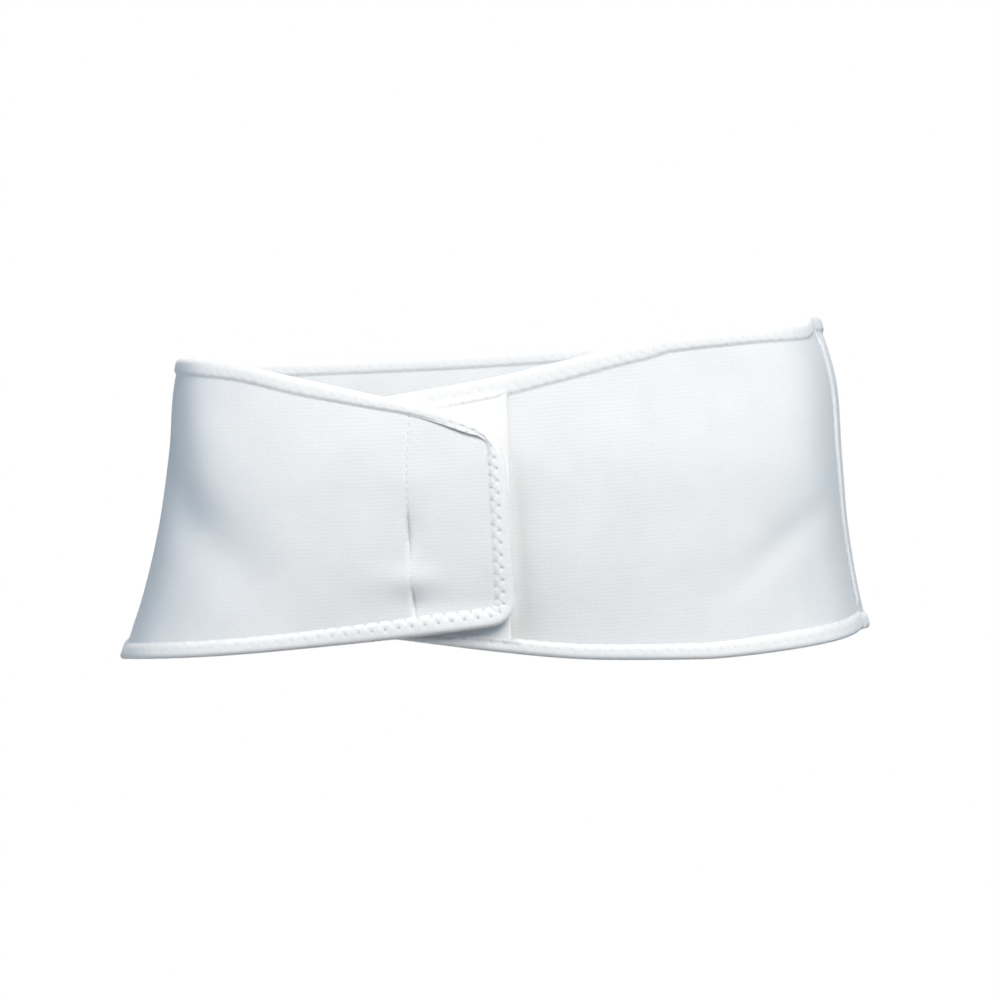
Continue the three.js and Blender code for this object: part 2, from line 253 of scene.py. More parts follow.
def read_table(rows, column, at):
    """Smooth curve through one column of a table, read along the table's first column."""
    keys = next(iter(rows.values()))
    values = rows[column]
    last = len(keys) - 1
    before = np.maximum(np.arange(last + 1) - 1, 0)
    after = np.minimum(np.arange(last + 1) + 1, last)
    slopes = (values[after] - values[before]) / (keys[after] - keys[before])
    i = np.clip(np.searchsorted(keys, at, side="right") - 1, 0, last - 1)
    span = keys[i + 1] - keys[i]
    u = np.clip((at - keys[i]) / span, 0, 1)
    ease = u * u * (3 - 2 * u)
    leave = u * (1 - u) ** 2 * span * slopes[i]
    arrive = u * u * (1 - u) * span * slopes[i + 1]
    return values[i] * (1 - ease) + values[i + 1] * ease + leave - arrive


def hip_point(angle, height, offset):
    """A point `offset` outside the hips; angle 0 is the front and a quarter turn is the +X side."""
    width = read_table(HIP_SECTIONS, "half_width", height) / (1 - SQUARENESS)
    depth = read_table(HIP_SECTIONS, "half_depth", height) / (1 - SQUARENESS)
    x = width * (np.sin(angle) + SQUARENESS * np.sin(3 * angle))
    y = -depth * (np.cos(angle) - SQUARENESS * np.cos(3 * angle))
    along_x = width * (np.cos(angle) + 3 * SQUARENESS * np.cos(3 * angle))
    along_y = depth * (np.sin(angle) - 3 * SQUARENESS * np.sin(3 * angle))
    reach = offset / np.hypot(along_x, along_y)
    x = x + read_table(HIP_SECTIONS, "side_shift", height) + reach * along_y
    y = y + read_table(HIP_SECTIONS, "back_shift", height) - reach * along_x
    return np.stack(np.broadcast_arrays(x, y, height), axis=-1)


# Distances round the mid-height section, one for each equal step of angle from back to back
GIRTH_ANGLES = np.linspace(-math.pi, math.pi, 721)
GIRTH_STEPS = np.diff(hip_point(GIRTH_ANGLES, np.zeros(721), 0), axis=0)
GIRTH_MARKS = np.concatenate([[0], np.cumsum(np.linalg.norm(GIRTH_STEPS, axis=1))])
GIRTH = GIRTH_MARKS[-1]
FRONT_MARK = GIRTH_MARKS[360]
BACK_START = RIGHT_SEAM
BACK_END = LEFT_SEAM + GIRTH


def angle_at(around):
    turns = np.floor((around + FRONT_MARK) / GIRTH)
    mark = around + FRONT_MARK - turns * GIRTH
    return np.interp(mark, GIRTH_MARKS, GIRTH_ANGLES) + 2 * math.pi * turns


def middle_height(around):
    angle = angle_at(around)
    facing_front = np.maximum(np.cos(angle), 0)
    return CANT * hip_point(angle, np.zeros_like(angle), 0)[..., 0] - FRONT_DIP * facing_front**2


def fold_offset(around, rise):
    """How far the soft shapes push the cloth out, below zero where they draw it in."""
    total = np.zeros(np.broadcast(around, rise).shape)
    for fold in FOLDS:
        most = np.zeros_like(total)
        for t in np.linspace(0, 1, FOLD_STEPS + 1):
            weights = ((1 - t) ** 2, 2 * t * (1 - t), t * t)
            corners = (fold["start"], fold["bend"], fold["finish"])
            x, y = (sum(w * c[axis] for w, c in zip(weights, corners)) for axis in (0, 1))
            distance = np.hypot(around - x, rise - y)
            share = math.sin(math.pi * t) * np.exp(-((distance / fold["width"]) ** 2))
            most = np.maximum(most, share)
        total = total + fold["push"] * most
    return total


def place(around, rise, offset):
    """A point of the pattern on the hips, in metres."""
    around, rise, offset = np.broadcast_arrays(*(np.asarray(v, float) for v in (around, rise, offset)))
    angle = angle_at(around - LEAN * rise)
    return MM * hip_point(angle, middle_height(around) + rise, offset + fold_offset(around, rise))


def overlap_lift(around, rise):
    spring = smoothstep(around, *SPRING_AROUND) * smoothstep(-rise, *SPRING_BELOW)
    return OVERLAP_LIFT * smoothstep(around, *OVERLAP_RAMP) + SPRING_OUT * spring


def under_lift(around, rise):
    return np.zeros_like(around)


def loop_lift(around, rise):
    return np.full_like(around, LOOP_LIFT)


def hook_lift(around, rise):
    return overlap_lift(around, rise) - LOOP_LIFT


def back_lift(around, rise):
    inside = np.minimum(around - BACK_START, BACK_END - around) - LAP_FLAT
    return LAP_LIFT * (1 - smoothstep(inside, 0, LAP_SLOPE))


SIDES = {"top": 1, "bottom": -1}


class FrontCut:
    """A front panel's cut: its edges run from the side seam to a free end with rounded corners."""

    def __init__(self, edges, end, seam, facing, corners):
        self.edges = edges
        self.end = end
        self.seam = seam
        self.facing = facing
        self.corner = {side: self.end_corner(side, corners[side]) for side in SIDES}

    def end_corner(self, side, radius):
        centre = self.end - self.facing * radius
        edge = read_table(self.edges, side, centre)
        ahead = read_table(self.edges, side, centre + self.facing)
        closing = float(SIDES[side] * (edge - ahead))
        rise = float(edge - SIDES[side] * radius * math.hypot(1, closing))
        return {"centre": centre, "rise": rise, "radius": radius, "start": math.atan2(1, closing)}

    def turn_start(self, side):
        corner = self.corner[side]
        return corner["centre"] + self.facing * corner["radius"] * math.cos(corner["start"])

    def edge(self, side, around):
        corner = self.corner[side]
        straight = read_table(self.edges, side, around)
        inside = np.maximum(corner["radius"] ** 2 - (around - corner["centre"]) ** 2, 0)
        turned = corner["rise"] + SIDES[side] * np.sqrt(inside)
        return np.where(self.facing * (around - self.turn_start(side)) > 0, turned, straight)

    def tape_width(self, side, around):
        return read_table(self.edges, side + "_tape", around)


class BackCut:
    """The back panel's cut, from the right side seam round the back to the left one."""

    def edge(self, side, around):
        return read_table(BACK_EDGES, side, around)

    def tape_width(self, side, around):
        return np.full_like(around, TAPE_WIDTH)


overlap_cut = FrontCut(OVERLAP_EDGES, OVERLAP_END, LEFT_SEAM, 1, OVERLAP_CORNERS)
under_cut = FrontCut(UNDER_EDGES, UNDER_END, RIGHT_SEAM, -1, UNDER_CORNERS)
back_cut = BackCut()


def edge_slope(cut, side, around):
    return cut.edge(side, around + 0.5) - cut.edge(side, around - 0.5)


def inside_tape(cut, side, around):
    """Rise of the line a little under a tape's leaf, where patches and rows of stitches end."""
    reach = cut.tape_width(side, around) - PATCH_TUCK
    slant = np.hypot(1, edge_slope(cut, side, around))
    return cut.edge(side, around) - SIDES[side] * reach * slant


def spaced(start, stop, step):
    """Places from start to stop, about one step apart."""
    count = max(round(abs(stop - start) / step), 1)
    return np.linspace(start, stop, count + 1)


def rimmed(start, stop, step, rim):
    """Places from start to stop, closer together within the rim at both ends."""
    curl = rim * (1 - np.cos(np.linspace(0, math.pi / 2, 5)))
    return np.concatenate([start + curl[:-1], spaced(start + rim, stop - rim, step), stop - curl[-2::-1]])


# Meshes


def make_piece(name, points, faces, uv, material, firmness=None):
    """A smooth-shaded mesh object that rides on the frame; uv, in mm, and firmness have a row a point."""
    mesh = bpy.data.meshes.new(name)
    mesh.from_pydata(points.reshape(-1, 3).tolist(), [], faces)
    mesh.polygons.foreach_set("use_smooth", np.ones(len(mesh.polygons), bool))
    corners = np.zeros(len(mesh.loops), np.int32)
    mesh.loops.foreach_get("vertex_index", corners)
    layer = mesh.uv_layers.new(name="pattern")
    layer.data.foreach_set("uv", uv.reshape(-1, 2)[corners].astype(np.float32).ravel())
    if firmness is not None:
        mesh.attributes.new("firmness", "FLOAT", "POINT").data.foreach_set("value", firmness.ravel())
    mesh.materials.append(material)
    mesh.update()
    piece = bpy.data.objects.new(name, mesh)
    bpy.context.scene.collection.objects.link(piece)
    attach(piece, "root")
    return piece


def loft(name, outer, inner, uv, material, slot, firmness=None):
    """A closed shell through stations, each an outer and an inner row of as many points."""
    stations, count = outer.shape[:2]
    ring = 2 * count
    points = np.concatenate([outer, inner[:, ::-1]], axis=1)
    pattern = np.concatenate([uv, uv[:, ::-1]], axis=1)
    index = np.arange(stations * ring).reshape(stations, ring)
    ahead = np.roll(index, -1, axis=1)
    walls = np.stack([index[:-1], index[1:], ahead[1:], ahead[:-1]], axis=-1).reshape(-1, 4)
    k = np.arange(count - 1)
    first = np.stack([k, k + 1, ring - 2 - k, ring - 1 - k], axis=-1)
    last = (stations - 1) * ring + first[:, [1, 0, 3, 2]]
    faces = np.concatenate([walls, first, last]).tolist()
    if firmness is not None:
        firmness = np.broadcast_to(firmness, (stations, ring)).astype(np.float32)
    return make_piece(name, points, faces, pattern, material, firmness)


def tubes(name, lines, radius, material):
    """Short round threads, one along each line of points."""
    count, steps = lines.shape[:2]
    along = np.gradient(lines, axis=1)
    along /= np.linalg.norm(along, axis=-1, keepdims=True)
    outward = lines * (1, 1, 0)
    across = np.cross(along, outward)
    across /= np.linalg.norm(across, axis=-1, keepdims=True)
    lifted = np.cross(across, along)
    turn = np.linspace(0, 2 * math.pi, THREAD_SIDES, endpoint=False)
    circle = np.cos(turn)[:, None] * across[..., None, :] + np.sin(turn)[:, None] * lifted[..., None, :]
    points = lines[..., None, :] + MM * radius * circle
    index = np.arange(count * steps * THREAD_SIDES).reshape(count, steps, THREAD_SIDES)
    ahead = np.roll(index, -1, axis=2)
    walls = np.stack([index[:, :-1], index[:, 1:], ahead[:, 1:], ahead[:, :-1]], axis=-1).reshape(-1, 4)
    faces = walls.tolist() + index[:, 0].tolist() + index[:, -1, ::-1].tolist()
    length = np.cumsum(np.linalg.norm(np.diff(lines, axis=1, prepend=lines[:, :1]), axis=-1), axis=1) / MM
    uv = np.stack(np.broadcast_arrays(length[..., None], radius * turn), axis=-1)
    return make_piece(name, points, faces, uv, material)


# Materials


class Cloth:
    """A Principled material whose nodes read the pattern's millimetres."""

    def __init__(self, name, sheen):
        self.material = bpy.data.materials.new(name)
        self.material.use_nodes = True
        self.tree = self.material.node_tree
        self.shader = self.tree.nodes["Principled BSDF"]
        self.shader.inputs["Sheen Weight"].default_value = sheen
        self.shader.inputs["Sheen Roughness"].default_value = 0.5
        self.shader.inputs["Specular IOR Level"].default_value = 0.2
        self.pattern = self.tree.nodes.new("ShaderNodeTexCoord").outputs["UV"]
        split = self.add("ShaderNodeSeparateXYZ", {"Vector": self.pattern})
        self.along, self.up = split.outputs["X"], split.outputs["Y"]

    def add(self, kind, inputs, **settings):
        node = self.tree.nodes.new(kind)
        for key, value in settings.items():
            setattr(node, key, value)
        for key, value in inputs.items():
            self.join(value, node.inputs[key])
        return node

    def join(self, value, socket):
        if isinstance(value, bpy.types.NodeSocket):
            self.tree.links.new(value, socket)
        else:
            socket.default_value = value

    def math(self, operation, *values):
        inputs = dict(enumerate(values))
        return self.add("ShaderNodeMath", inputs, operation=operation).outputs[0]

    def mix(self, *weighted):
        """The sum of pairs of a weight and a value."""
        total = self.math("MULTIPLY", weighted[0][1], weighted[0][0])
        for weight, value in weighted[1:]:
            total = self.math("MULTIPLY_ADD", value, weight, total)
        return total

    def wave(self, place, pitch, shift=0.0):
        """A sine along `place`, from 0 to 1, with `shift` in turns."""
        turns = self.math("ADD", self.math("DIVIDE", place, pitch), shift)
        sine = self.math("SINE", self.math("MULTIPLY", turns, 2 * math.pi))
        return self.math("MULTIPLY_ADD", sine, 0.5, 0.5)

    def noise(self, grain, detail=2.0, stretch=(1, 1, 1)):
        """Noise whose blotches are about `grain` millimetres across."""
        scaled = self.add("ShaderNodeMapping", {"Vector": self.pattern, "Scale": stretch})
        inputs = {"Vector": scaled.outputs[0], "Scale": 1 / grain, "Detail": detail, "Roughness": 0.55}
        return self.add("ShaderNodeTexNoise", inputs).outputs["Fac"]

    def dot(self, turn, across, row):
        """A soft dot half-way along every turn of the zigzag, `row` millimetres in from the fold."""
        beside = self.math("MULTIPLY", self.math("SUBTRACT", self.math("FRACT", turn), 0.5), ZIGZAG_PITCH)
        away = self.math("SUBTRACT", across, row)
        square = self.math("MULTIPLY_ADD", beside, beside, self.math("MULTIPLY", away, away))
        return self.math("EXPONENT", self.math("DIVIDE", square, -(HOLE_RADIUS**2)))

    def finish(self, dark, light, shade, rough, roughness, height, depth):
        """Colour from dark to light by `shade`, roughness by `rough`, bump `depth` mm deep by `height`."""
        ramp = self.add("ShaderNodeMix", {0: shade}, data_type="RGBA", clamp_factor=True)
        self.join((*dark, 1), ramp.inputs[6])
        self.join((*light, 1), ramp.inputs[7])
        self.join(ramp.outputs[2], self.shader.inputs["Base Color"])
        span = {"Value": rough, "To Min": roughness[0], "To Max": roughness[1]}
        self.join(self.add("ShaderNodeMapRange", span).outputs[0], self.shader.inputs["Roughness"])
        relief = {"Height": height, "Distance": depth * MM, "Strength": 1.0}
        self.join(self.add("ShaderNodeBump", relief).outputs["Normal"], self.shader.inputs["Normal"])
        return self.material


def knit_material():
    """Elastic knit: fine broken level ribs, stretched flat towards the sides, of small stitches."""
    rib, wale = 1.75, 1.15
    cloth = Cloth("elastic_knit", sheen=0.15)
    drift = cloth.math("MULTIPLY", cloth.noise(14), 0.5)
    fade = {"From Min": 60, "From Max": 150, "To Min": 1, "To Max": 0.25}
    aside = cloth.math("ABSOLUTE", cloth.along)
    clear = cloth.add("ShaderNodeMapRange", {"Value": aside, **fade}).outputs[0]
    broken = cloth.math("MULTIPLY", cloth.noise(3, stretch=(0.25, 1, 1)), clear)
    course = cloth.math("MULTIPLY", cloth.wave(cloth.up, rib, drift), broken)
    row = cloth.math("FLOOR", cloth.math("DIVIDE", cloth.up, rib))
    stitch = cloth.wave(cloth.along, wale, cloth.math("MULTIPLY", row, 0.5))
    fibre = cloth.noise(0.8, detail=3.0, stretch=(0.7, 1, 1))
    height = cloth.mix((0.8, course), (0.2, stitch), (0.6, fibre))
    cloudy = cloth.noise(26)
    # Darker where the bump is low: painted shade in the hollows of the ribs, stitches and grain, with its
    # dark end a little bluer. The cloudy blotches and the grain also vary the tone at random.
    shade = cloth.mix((0.3, height), (0.4, cloudy), (0.5, fibre))
    return cloth.finish((0.66, 0.68, 0.70), (0.885, 0.895, 0.905), shade, fibre, (0.8, 0.98), height, 0.03)


def tape_material():
    """Binding tape: a soft, close weave with a zigzag of needle holes in painted shade, most where the
    stitch is firm.
    """
    cloth = Cloth("edge_tape", sheen=0.2)
    slant = cloth.math("MULTIPLY_ADD", cloth.along, 0.5, cloth.up)
    weave = cloth.math("MULTIPLY", cloth.wave(slant, 0.7), cloth.wave(cloth.along, 0.6))
    fibre = cloth.noise(0.5, detail=3.0)
    crumple = cloth.noise(2.2, stretch=(1, 0.6, 1))
    across = cloth.math("SUBTRACT", cloth.math("ABSOLUTE", cloth.up), FOLD_HALF)
    turn = cloth.math("DIVIDE", cloth.along, ZIGZAG_PITCH)
    near = cloth.dot(cloth.math("ADD", turn, 0.5), across, ZIGZAG_NEAR * TAPE_WIDTH)
    far = cloth.dot(turn, across, ZIGZAG_FAR * TAPE_WIDTH)
    firm = cloth.add("ShaderNodeAttribute", {}, attribute_name="firmness").outputs["Fac"]
    # Painted shade: the colour darkens in the needle holes, more where the stitch is firm, and in the low
    # parts of the crumples and grain. The holes are also dented in the bump.
    hole = cloth.math("MULTIPLY", cloth.math("ADD", near, far), firm)
    height = cloth.mix((0.3, weave), (0.3, fibre), (0.8, crumple), (-1.6, hole))
    shade = cloth.math("ADD", cloth.mix((0.12, fibre), (0.2, crumple), (-0.55, hole)), 0.75)
    return cloth.finish((0.42, 0.44, 0.47), (0.9, 0.9, 0.9), shade, fibre, (0.7, 0.92), height, 0.12)


def loop_material():
    """Loop pile: a dense brushed nap."""
    cloth = Cloth("loop_pile", sheen=0.3)
    tuft = cloth.noise(0.8, detail=4.0)
    nap = cloth.noise(5, stretch=(1, 0.4, 1))
    height = cloth.mix((0.8, tuft), (0.4, nap))
    # The colour follows the pile's bump, lighter on the tufts and darker between them: painted shade.
    shade = cloth.mix((0.6, tuft), (0.5, nap))
    return cloth.finish((0.82, 0.82, 0.82), (0.93, 0.93, 0.93), shade, tuft, (0.85, 1.0), height, 0.16)


def hook_material():
    """Hook tape: close rows of small stiff hooks on a woven ground."""
    cloth = Cloth("hook_tape", sheen=0.0)
    post = cloth.math("MULTIPLY", cloth.wave(cloth.along, 1.3), cloth.wave(cloth.up, 1.6))
    hook = cloth.math("POWER", post, 2.0)
    ground = cloth.noise(0.4)
    height = cloth.mix((0.9, hook), (0.15, ground))
    # The colour follows the bump, lighter on the hooks and darker on the ground between them: painted shade.
    shade = cloth.mix((0.7, hook), (0.3, ground))
    return cloth.finish((0.6, 0.61, 0.62), (0.82, 0.83, 0.84), shade, hook, (0.35, 0.6), height, 0.5)


def thread_material():
    """Sewing thread: two plies with a close twist."""
    cloth = Cloth("sewing_thread", sheen=0.2)
    twist = cloth.wave(cloth.math("MULTIPLY_ADD", cloth.up, 0.6, cloth.along), 0.5)
    lint = cloth.noise(0.3)
    height = cloth.mix((0.8, twist), (0.2, lint))
    # The colour is the bump's height, darker in the grooves of the twist: painted shade.
    return cloth.finish((0.8, 0.81, 0.82), (0.93, 0.93, 0.93), height, lint, (0.55, 0.75), height, 0.08)


knit = knit_material()
tape = tape_material()
loops = loop_material()
hooks = hook_material()
thread = thread_material()


# Panels and patches


def no_relief(around, rise, offset):
    return np.zeros_like(offset)


def hook_line(rise):
    return HOOK_LINE + HOOK_LINE_SLANT * rise + HOOK_LINE_BOW * rise**2


def overlap_relief(around, rise, offset):
    """The stitch line that holds the hook patch draws the flap in on its free side, between soft puffs.

    The layers under the flap's face are pressed together, so a lower one moves less.
    """
    aside = around - hook_line(rise)
    depth = np.full(np.broadcast(around, rise).shape, HOOK_VALLEY["least"])
    for at, reach, pull in zip(*HOOK_PULLS.values()):
        depth = depth + pull * np.exp(-(((rise - at) / reach) ** 2))
    spread = np.where(aside > 0, HOOK_VALLEY["free_side"], HOOK_VALLEY["other_side"])
    relief = -depth * np.exp(-np.abs(aside) / spread)
    relief = relief - HOOK_GROOVE["share"] * depth * np.exp(-((aside / HOOK_GROOVE["reach"]) ** 2))
    for at, reach, height in zip(*HOOK_PUFFS.values()):
        relief = relief + height * np.exp(-((aside / PUFF_REACH) ** 2 + ((rise - at) / reach) ** 2))
    return relief * np.clip((offset - STACK_FLOOR) / (STACK_FACE - STACK_FLOOR), 0, 1)


def under_relief(around, rise, offset):
    """The pull of the closed flap draws the cloth in beside the flap's end, more towards the bottom."""
    beside = 1 - smoothstep(around, *HOLLOW_FINISH)
    return -HOLLOW_DEPTH * beside * smoothstep(around, *HOLLOW_START) * smoothstep(-rise, *HOLLOW_BELOW)


def back_relief(around, rise, offset=0):
    """The seams press the back panel's ends down, most at its edges, where no tongue lies under it."""
    inside = np.minimum(around - BACK_START, BACK_END - around)
    clear = np.minimum(back_cut.edge("top", around) - rise, rise - back_cut.edge("bottom", around))
    middle = smoothstep(clear, *SEAM_EDGE)
    press = SEAM_PRESS["middle"] * middle + SEAM_PRESS["edges"] * (1 - middle)
    return -press * np.exp(-((inside / SEAM_PRESS["reach"]) ** 2))


def pressed_back_lift(around, rise):
    return back_lift(around, rise) + back_relief(around, rise)


def cloth_shell(
    name, columns, rows, cut_bottom, cut_top, lift, thickness, finish, relief=no_relief, rim=None, slant=0.0
):
    """A sheet between two edges; rows are shares of its height and a slant leans its ends.

    A rim is how far in from the edges the face is rounded, and the share of the thickness left at the edge.
    """
    material, slot = finish
    low, high = cut_bottom(columns), cut_top(columns)
    around = np.broadcast_to(columns[:, None], (len(columns), len(rows)))
    rise = low[:, None] + (high - low)[:, None] * rows
    thick = np.full(around.shape, thickness)
    if rim:
        reach, left = rim
        ends = np.minimum(around - columns[0], columns[-1] - around)
        edges = np.minimum(rise - low[:, None], high[:, None] - rise)
        share = np.clip(np.minimum(ends, edges) / reach, 0, 1)
        thick = thickness * (left + (1 - left) * np.sqrt(1 - (1 - share) ** 2))
    around = around + slant * rise
    under = lift(around, rise) - thickness / 2
    faces = [place(around, rise, face + relief(around, rise, face)) for face in (under + thick, under)]
    uv = np.stack([around, rise], axis=-1)
    return loft(name, *faces, uv, material, slot)


def front_columns(cut):
    """Places along a front panel: its tongue, its straight part, and its rounded free end."""
    narrow = cut.seam + cut.facing * GAP
    full = narrow + cut.facing
    turn = cut.end - cut.facing * cut.corner["top"]["radius"]
    quarter = np.linspace(0, math.pi / 2, 12)[1:]
    rounded = cut.end - cut.facing * cut.corner["top"]["radius"] * (1 - np.sin(quarter))
    tongue = spaced(narrow - cut.facing * TONGUE, narrow, COLUMN_STEP)
    return np.sort(np.concatenate([tongue, spaced(full, turn, COLUMN_STEP), rounded]))


def front_panel(name, cut, lift, relief, extra_columns=()):
    narrow = cut.seam + cut.facing * GAP

    def edge_inside(side):
        def rise(around):
            tongue = cut.facing * (around - narrow) <= 1e-6
            return cut.edge(side, around) - SIDES[side] * tongue * (TAPE_WIDTH + TONGUE_MARGIN)

        return rise

    columns = np.unique(np.concatenate([front_columns(cut), extra_columns]))
    rows = np.linspace(0, 1, ROW_COUNT)
    return cloth_shell(
        name, columns, rows, edge_inside("bottom"), edge_inside("top"),
        lift, PANEL_THICKNESS, (knit, "elastic_knit"), relief,
    )


stitch_columns = spaced(*FINE_COLUMNS, FINE_STEP)
overlap_panel = front_panel("overlap_panel_cloth", overlap_cut, overlap_lift, overlap_relief, stitch_columns)
under_panel = front_panel("under_panel_cloth", under_cut, under_lift, under_relief)
back_panel = cloth_shell(
    "back_panel_cloth",
    rimmed(BACK_START, BACK_END, COLUMN_STEP, BACK_RIM[0]),
    np.linspace(0, 1, ROW_COUNT),
    lambda around: back_cut.edge("bottom", around),
    lambda around: back_cut.edge("top", around),
    back_lift,
    PANEL_THICKNESS,
    (knit, "elastic_knit"),
    back_relief,
    rim=BACK_RIM,
)


def patch(name, span, cut, lift, finish, slant=0.0):
    clear_of_rim = np.abs(stitch_columns - np.mean(span)) < np.ptp(span) / 2 - PATCH_RIM[0]
    plain = rimmed(*span, COLUMN_STEP, PATCH_RIM[0])
    return cloth_shell(
        name,
        np.unique(np.concatenate([plain, stitch_columns[clear_of_rim]])),
        rimmed(0, 1, PATCH_ROW, PATCH_ROW),
        lambda around: inside_tape(cut, "bottom", around),
        lambda around: inside_tape(cut, "top", around),
        lift,
        PATCH_THICKNESS,
        finish,
        overlap_relief,
        rim=PATCH_RIM,
        slant=slant,
    )


loop_patch = patch("loop_patch_pile", LOOP_PATCH, under_cut, loop_lift, (loops, "loop_pile"), LOOP_SLANT)
hook_patch = patch("hook_patch_hooks", HOOK_PATCH, overlap_cut, hook_lift, (hooks, "hook_tape"))


# Folded tape, drawn along runs of points on the cut edges; a run has these columns

AROUND, RISE, OUT_AROUND, OUT_RISE, WIDTH, FIRM, STAND = range(7)


def edge_run(cut, side, around):
    """A run along one edge: places, outward directions, tape widths, firmness and the leaf's stand-off."""
    slope = edge_slope(cut, side, around)
    length = np.hypot(1, slope)
    outward = -SIDES[side] * slope / length, SIDES[side] / length
    width = cut.tape_width(side, around)
    firm = np.full_like(around, LOOSE_STITCH)
    stand = np.full_like(around, LEAF_SETTLED)
    return np.stack([around, cut.edge(side, around), *outward, width, firm, stand], axis=1)


def front_run(cut, under_leaf=None):
    """The edge of a front panel from its seam along the top, round its free end and back along the bottom.

    The tape's outer leaf rides on a patch whose span is given.
    """

    def straight(side):
        around = spaced(cut.seam + cut.facing * GAP, cut.turn_start(side), RUN_STEP)
        run = edge_run(cut, side, around)
        inside = np.abs(cut.end - around)
        run[:, FIRM] += (1 - LOOSE_STITCH) * (1 - smoothstep(inside, FIRM_START, FIRM_END[side]))
        run[:, STAND] += LEAF_STAND_OFF[side] * (1 - smoothstep(inside, *STAND_FADE))
        return run

    def turned(side):
        corner = cut.corner[side]
        angle = spaced(corner["start"], 0, RUN_STEP / corner["radius"])
        out_around, out_rise = cut.facing * np.cos(angle), SIDES[side] * np.sin(angle)
        around = corner["centre"] + corner["radius"] * out_around
        rise = corner["rise"] + corner["radius"] * out_rise
        done = 1 - angle / corner["start"]
        pinched = np.sin(math.pi * np.minimum(done / CORNER_PINCH["span"], 1)) ** 2
        plain = cut.tape_width(side, around) * (1 - done) + END_TAPE * done
        width = plain * (1 - CORNER_PINCH[side] * pinched)
        firm = np.ones_like(angle)
        stand = LEAF_SETTLED + LEAF_STAND_OFF[side] * (1 - smoothstep(done, *STAND_TURN))
        return np.stack([around, rise, out_around, out_rise, width, firm, stand], axis=1)

    top, bottom = cut.corner["top"]["rise"], cut.corner["bottom"]["rise"]
    rise = spaced(top, bottom, RUN_STEP)
    flat = np.ones_like(rise)
    columns = (cut.end * flat, rise, cut.facing * flat, 0 * flat, END_TAPE * flat, flat, LEAF_SETTLED * flat)
    end = np.stack(columns, axis=1)
    run = np.concatenate(
        [straight("top"), turned("top"), end, turned("bottom")[::-1], straight("bottom")[::-1]]
    )
    if under_leaf:
        start, stop = under_leaf
        beyond = np.maximum(start - run[:, AROUND], run[:, AROUND] - stop)
        run[:, STAND] += LEAF_RIDE * (1 - smoothstep(beyond, -RIDE_FADE, RIDE_FADE))
    return run if cut.facing > 0 else run[::-1]


